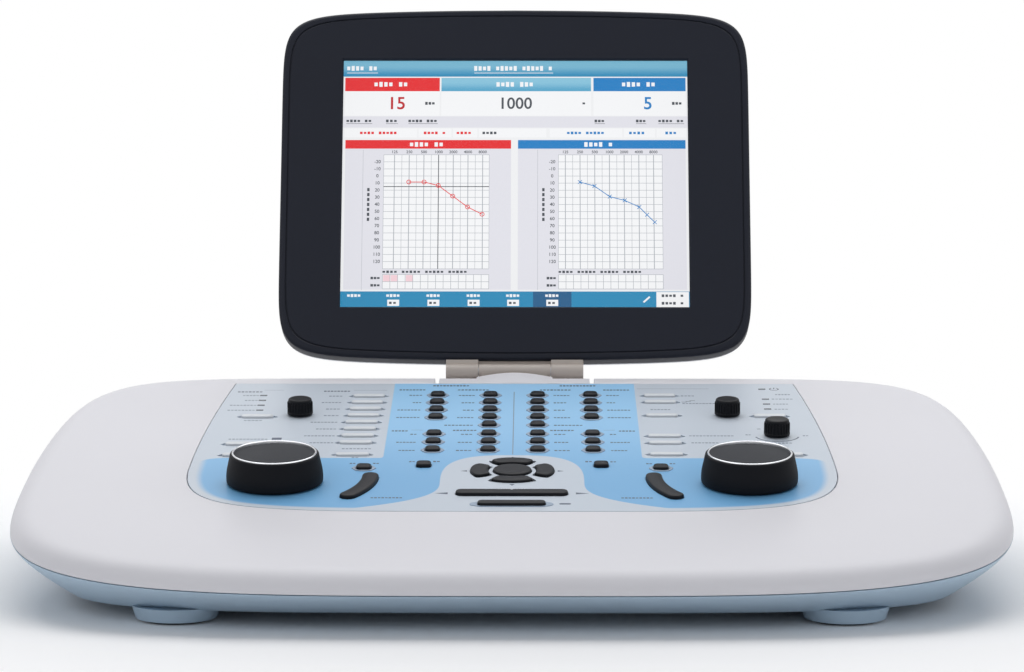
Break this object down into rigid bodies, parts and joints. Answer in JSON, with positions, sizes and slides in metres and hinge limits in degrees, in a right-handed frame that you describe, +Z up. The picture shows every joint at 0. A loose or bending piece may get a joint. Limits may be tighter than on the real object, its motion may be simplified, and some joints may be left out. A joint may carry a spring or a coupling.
{
  "type": "audiometer",
  "caption": "Desktop two-channel audiometer: wedge console with sloping control plate, level dials, knobs and keys, and a screen that folds down over it on a rear hinge.",
  "frame": {"origin": "middle of the bounding box in plan, on the surface that the feet stand on", "axes": "+X to the right as the user sits, +Y to the rear, +Z up"},
  "size_m": [0.542, 0.5034, 0.3132],
  "materials": {
    "shell_white": "fine satin",
    "tray_blue": "fine satin",
    "rubber_pad": "soft matte",
    "steel": "satin",
    "socket_black": "fine satin",
    "board_green": "smooth",
    "speaker_grey": "satin paint",
    "plate_print": "smooth",
    "collar_grey": "smooth",
    "lamp": "smooth",
    "neck_taupe": "satin paint",
    "frame_dark": "smooth",
    "cover_grey": "fine satin",
    "screen_glass": "clear",
    "dial_black": "soft matte",
    "ring_silver": "polished",
    "knob_black": "fine satin",
    "key_grey": "smooth",
    "key_black": "soft matte"
  },
  "bodies": {
    "console": {"bottom_shell": "tray_blue", "top_shell": "shell_white", "foot_pads": "rubber_pad", "base_screws": "steel", "hinge_cover": "shell_white", "rear_panel": "shell_white", "phone_jacks": "socket_black", "power_inlet": "socket_black", "main_board": "board_green", "monitor_speaker": "speaker_grey", "key_board": "board_green", "key_switches": "socket_black", "encoders": "steel", "control_panel": "plate_print", "key_collars": "collar_grey", "status_lights": "lamp", "hinge_bracket": "neck_taupe", "hinge_pins": "steel"},
    "screen": {"neck": "neck_taupe", "display_bezel": "frame_dark", "display_back": "cover_grey", "screen_glass": "screen_glass", "lcd_module": "speaker_grey", "display_board": "board_green", "display_screws": "steel"},
    "left_level_dial": {"left_dial": "dial_black", "left_dial_ring": "ring_silver", "left_dial_cap": "dial_black", "left_dial_shaft": "steel"},
    "right_level_dial": {"right_dial": "dial_black", "right_dial_ring": "ring_silver", "right_dial_cap": "dial_black", "right_dial_shaft": "steel"},
    "monitor_knob": {"monitor_knob": "knob_black"},
    "talk_level_knob": {"talk_level_knob": "knob_black"},
    "power_level_knob": {"power_level_knob": "knob_black"},
    "pad_up": {"pad_up": "key_black"},
    "pad_down": {"pad_down": "key_black"},
    "pad_left": {"pad_left": "key_black"},
    "pad_right": {"pad_right": "key_black"},
    "pad_centre": {"pad_centre": "key_black"},
    "frequency_bar": {"frequency_bar": "key_black"},
    "save_bar": {"save_bar": "key_black"},
    "left_present_bar": {"left_present_bar": "key_black"},
    "right_present_bar": {"right_present_bar": "key_black"},
    "left_interrupt_key": {"left_interrupt_key": "key_black"},
    "right_interrupt_key": {"right_interrupt_key": "key_black"},
    "left_talk_key": {"left_talk_key": "key_black"},
    "right_talk_key": {"right_talk_key": "key_black"},
    "left_stimulus_keys": {"left_stimulus_keys": "key_black"},
    "left_noise_keys": {"left_noise_keys": "key_black"},
    "left_output_keys": {"left_output_keys": "key_black"},
    "left_routing_keys": {"left_routing_keys": "key_black"},
    "right_stimulus_keys": {"right_stimulus_keys": "key_black"},
    "right_noise_keys": {"right_noise_keys": "key_black"},
    "right_output_keys": {"right_output_keys": "key_black"},
    "right_routing_keys": {"right_routing_keys": "key_black"},
    "left_test_keys": {"left_test_keys": "key_grey"},
    "left_side_keys": {"left_side_keys": "key_grey"},
    "right_test_keys": {"right_test_keys": "key_grey"}
  },
  "joints": [
    {"name": "screen_fold", "type": "hinge", "parent": "console", "child": "screen", "pos_m": [0, 0.14087, 0.09404], "axis": [1, 0, 0], "range_deg": [-10, 110]},
    {"name": "left_dial_turn", "type": "hinge", "parent": "console", "child": "left_level_dial", "pos_m": [-0.13, -0.09025, 0.05746], "axis": [0, -0.1513, 0.9885], "continuous": true},
    {"name": "right_dial_turn", "type": "hinge", "parent": "console", "child": "right_level_dial", "pos_m": [0.13, -0.09025, 0.05746], "axis": [0, -0.1513, 0.9885], "continuous": true},
    {"name": "monitor_knob_turn", "type": "hinge", "parent": "console", "child": "monitor_knob", "pos_m": [-0.1248, 0.04764, 0.07856], "axis": [0, -0.1513, 0.9885], "range_deg": [-140, 140]},
    {"name": "talk_level_knob_turn", "type": "hinge", "parent": "console", "child": "talk_level_knob", "pos_m": [0.1248, 0.04764, 0.07856], "axis": [0, -0.1513, 0.9885], "range_deg": [-140, 140]},
    {"name": "power_level_knob_turn", "type": "hinge", "parent": "console", "child": "power_level_knob", "pos_m": [0.151, 0.00415, 0.0719], "axis": [0, -0.1513, 0.9885], "range_deg": [-140, 140]},
    {"name": "pad_up_press", "type": "slide", "parent": "console", "child": "pad_up", "axis": [0, 0.1513, -0.9885], "range_m": [0, 0.0015], "stiffness_N_per_m": 600},
    {"name": "pad_down_press", "type": "slide", "parent": "console", "child": "pad_down", "axis": [0, 0.1513, -0.9885], "range_m": [0, 0.0015], "stiffness_N_per_m": 600},
    {"name": "pad_left_press", "type": "slide", "parent": "console", "child": "pad_left", "axis": [0, 0.1513, -0.9885], "range_m": [0, 0.0015], "stiffness_N_per_m": 600},
    {"name": "pad_right_press", "type": "slide", "parent": "console", "child": "pad_right", "axis": [0, 0.1513, -0.9885], "range_m": [0, 0.0015], "stiffness_N_per_m": 600},
    {"name": "pad_centre_press", "type": "slide", "parent": "console", "child": "pad_centre", "axis": [0, 0.1513, -0.9885], "range_m": [0, 0.0015], "stiffness_N_per_m": 600},
    {"name": "frequency_bar_press", "type": "slide", "parent": "console", "child": "frequency_bar", "axis": [0, 0.1513, -0.9885], "range_m": [0, 0.0015], "stiffness_N_per_m": 600},
    {"name": "save_bar_press", "type": "slide", "parent": "console", "child": "save_bar", "axis": [0, 0.1513, -0.9885], "range_m": [0, 0.0015], "stiffness_N_per_m": 600},
    {"name": "left_present_bar_press", "type": "slide", "parent": "console", "child": "left_present_bar", "axis": [0, 0.1513, -0.9885], "range_m": [0, 0.0015], "stiffness_N_per_m": 600},
    {"name": "right_present_bar_press", "type": "slide", "parent": "console", "child": "right_present_bar", "axis": [0, 0.1513, -0.9885], "range_m": [0, 0.0015], "stiffness_N_per_m": 600},
    {"name": "left_interrupt_key_press", "type": "slide", "parent": "console", "child": "left_interrupt_key", "axis": [0, 0.1513, -0.9885], "range_m": [0, 0.0015], "stiffness_N_per_m": 600},
    {"name": "right_interrupt_key_press", "type": "slide", "parent": "console", "child": "right_interrupt_key", "axis": [0, 0.1513, -0.9885], "range_m": [0, 0.0015], "stiffness_N_per_m": 600},
    {"name": "left_talk_key_press", "type": "slide", "parent": "console", "child": "left_talk_key", "axis": [0, 0.1513, -0.9885], "range_m": [0, 0.0015], "stiffness_N_per_m": 600},
    {"name": "right_talk_key_press", "type": "slide", "parent": "console", "child": "right_talk_key", "axis": [0, 0.1513, -0.9885], "range_m": [0, 0.0015], "stiffness_N_per_m": 600},
    {"name": "left_stimulus_keys_press", "type": "slide", "parent": "console", "child": "left_stimulus_keys", "axis": [0, 0.1513, -0.9885], "range_m": [0, 0.0015], "stiffness_N_per_m": 600},
    {"name": "left_noise_keys_press", "type": "slide", "parent": "console", "child": "left_noise_keys", "axis": [0, 0.1513, -0.9885], "range_m": [0, 0.0015], "stiffness_N_per_m": 600},
    {"name": "left_output_keys_press", "type": "slide", "parent": "console", "child": "left_output_keys", "axis": [0, 0.1513, -0.9885], "range_m": [0, 0.0015], "stiffness_N_per_m": 600},
    {"name": "left_routing_keys_press", "type": "slide", "parent": "console", "child": "left_routing_keys", "axis": [0, 0.1513, -0.9885], "range_m": [0, 0.0015], "stiffness_N_per_m": 600},
    {"name": "right_stimulus_keys_press", "type": "slide", "parent": "console", "child": "right_stimulus_keys", "axis": [0, 0.1513, -0.9885], "range_m": [0, 0.0015], "stiffness_N_per_m": 600},
    {"name": "right_noise_keys_press", "type": "slide", "parent": "console", "child": "right_noise_keys", "axis": [0, 0.1513, -0.9885], "range_m": [0, 0.0015], "stiffness_N_per_m": 600},
    {"name": "right_output_keys_press", "type": "slide", "parent": "console", "child": "right_output_keys", "axis": [0, 0.1513, -0.9885], "range_m": [0, 0.0015], "stiffness_N_per_m": 600},
    {"name": "right_routing_keys_press", "type": "slide", "parent": "console", "child": "right_routing_keys", "axis": [0, 0.1513, -0.9885], "range_m": [0, 0.0015], "stiffness_N_per_m": 600},
    {"name": "left_test_keys_press", "type": "slide", "parent": "console", "child": "left_test_keys", "axis": [0, 0.1513, -0.9885], "range_m": [0, 0.0015], "stiffness_N_per_m": 600},
    {"name": "left_side_keys_press", "type": "slide", "parent": "console", "child": "left_side_keys", "axis": [0, 0.1513, -0.9885], "range_m": [0, 0.0015], "stiffness_N_per_m": 600},
    {"name": "right_test_keys_press", "type": "slide", "parent": "console", "child": "right_test_keys", "axis": [0, 0.1513, -0.9885], "range_m": [0, 0.0015], "stiffness_N_per_m": 600}
  ]
}
